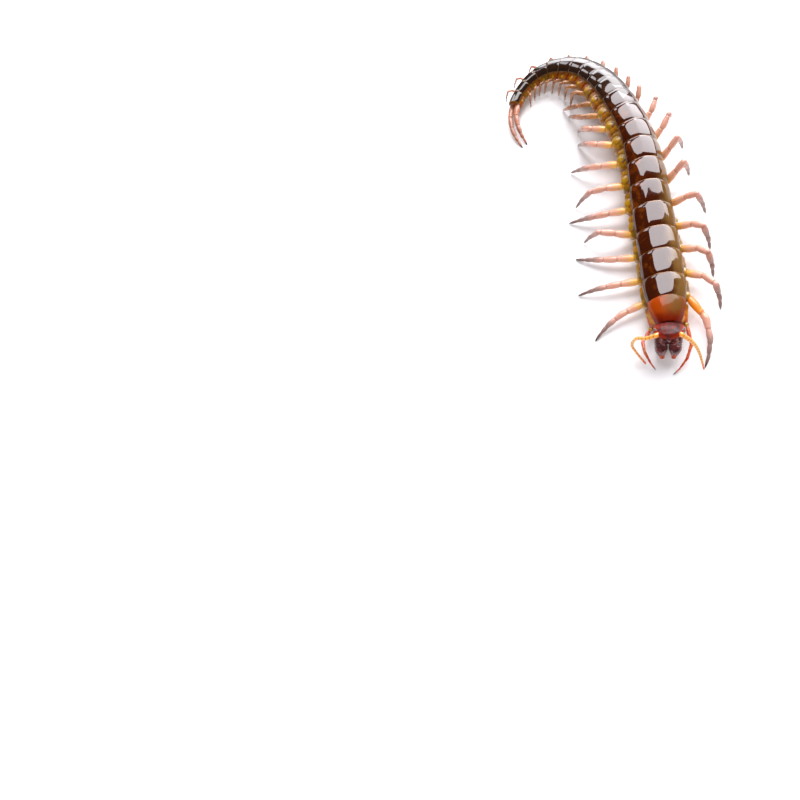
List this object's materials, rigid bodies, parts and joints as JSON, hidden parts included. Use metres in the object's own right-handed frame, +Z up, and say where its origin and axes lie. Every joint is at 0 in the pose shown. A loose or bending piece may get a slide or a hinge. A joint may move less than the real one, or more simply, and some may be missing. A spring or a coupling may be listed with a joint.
{
  "type": "giant centipede",
  "caption": "Life-size giant centipede with its tail curled to one side: a segmented glossy trunk, jointed legs, beaded feelers and curved fangs, standing on the floor.",
  "frame": {"origin": "centre of the outline on the floor, at the level of the feet", "axes": "+Z up, the head points to -Y, the animal's left side faces +X and its tail curls towards -X"},
  "size_m": [0.0572, 0.1014, 0.0111],
  "materials": {
    "shell": "wet gloss, dark olive brown with amber edges",
    "head_shell": "wet gloss, dark red",
    "fang": "gloss, dark purplish brown with red tips",
    "leg": "soft gloss, salmon pink with yellow roots and dark claws",
    "feeler": "satin, orange with darker rings"
  },
  "bodies": {
    "root": {"leg_left_01": "leg", "leg_right_01": "leg", "leg_left_02": "leg", "leg_right_02": "leg", "leg_left_03": "leg", "leg_right_03": "leg", "leg_left_04": "leg", "leg_right_04": "leg", "leg_left_05": "leg", "leg_right_05": "leg", "leg_left_06": "leg", "leg_right_06": "leg", "leg_left_07": "leg", "leg_right_07": "leg", "leg_left_08": "leg", "leg_right_08": "leg", "leg_left_09": "leg", "leg_right_09": "leg", "leg_left_10": "leg", "leg_right_10": "leg", "leg_left_11": "leg", "leg_right_11": "leg", "leg_left_12": "leg", "leg_right_12": "leg", "leg_left_13": "leg", "leg_right_13": "leg", "leg_left_14": "leg", "leg_right_14": "leg", "leg_left_15": "leg", "leg_right_15": "leg", "leg_left_16": "leg", "leg_right_16": "leg", "leg_left_17": "leg", "leg_right_17": "leg", "leg_left_18": "leg", "leg_right_18": "leg", "leg_left_19": "leg", "leg_right_19": "leg", "leg_left_20": "leg", "leg_right_20": "leg", "trunk_01_03": "shell", "trunk_04_06": "shell", "trunk_07_09": "shell", "trunk_10_12": "shell", "trunk_13_15": "shell", "trunk_16_18": "shell", "trunk_19_21": "shell", "head": "head_shell", "fang_plate": "head_shell", "fang_left": "fang", "antenna_left": "feeler", "leg_last_left": "leg", "fang_right": "fang", "antenna_right": "feeler", "leg_last_right": "leg"}
  },
  "joints": []
}
